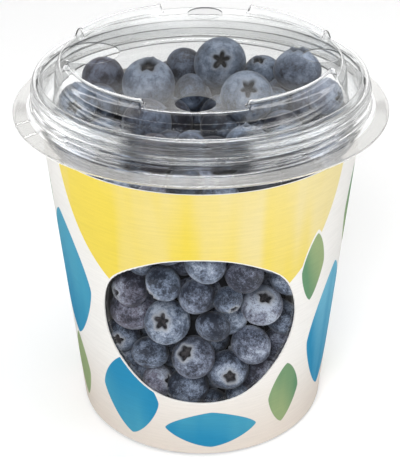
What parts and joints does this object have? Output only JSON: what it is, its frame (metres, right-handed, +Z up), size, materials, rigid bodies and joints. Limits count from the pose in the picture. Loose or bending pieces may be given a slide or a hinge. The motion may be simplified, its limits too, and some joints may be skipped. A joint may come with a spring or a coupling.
{
  "type": "tub of blueberries",
  "caption": "Round clear tub of blueberries with a printed card sleeve, an oval window in front and a clear push-on lid with ribs and vent holes.",
  "frame": {"origin": "middle of the flat base, on the surface it stands on", "axes": "+Z up out of the lid; the window in the sleeve faces -Y; +X to the right seen from the front"},
  "size_m": [0.122, 0.122, 0.132],
  "materials": {
    "clear_plastic": "clear thermoformed plastic, glossy",
    "clear_lid_plastic": "clear thermoformed plastic, glossy, a little hazy",
    "printed_card": "off-white grained card with a satin print in yellow, teal and leaf green",
    "berry_skin": "slate-blue skin with a pale waxy bloom"
  },
  "bodies": {
    "root": {"cup": "clear_plastic", "sleeve": "printed_card", "berries": "berry_skin", "lid": "clear_lid_plastic"}
  },
  "joints": []
}
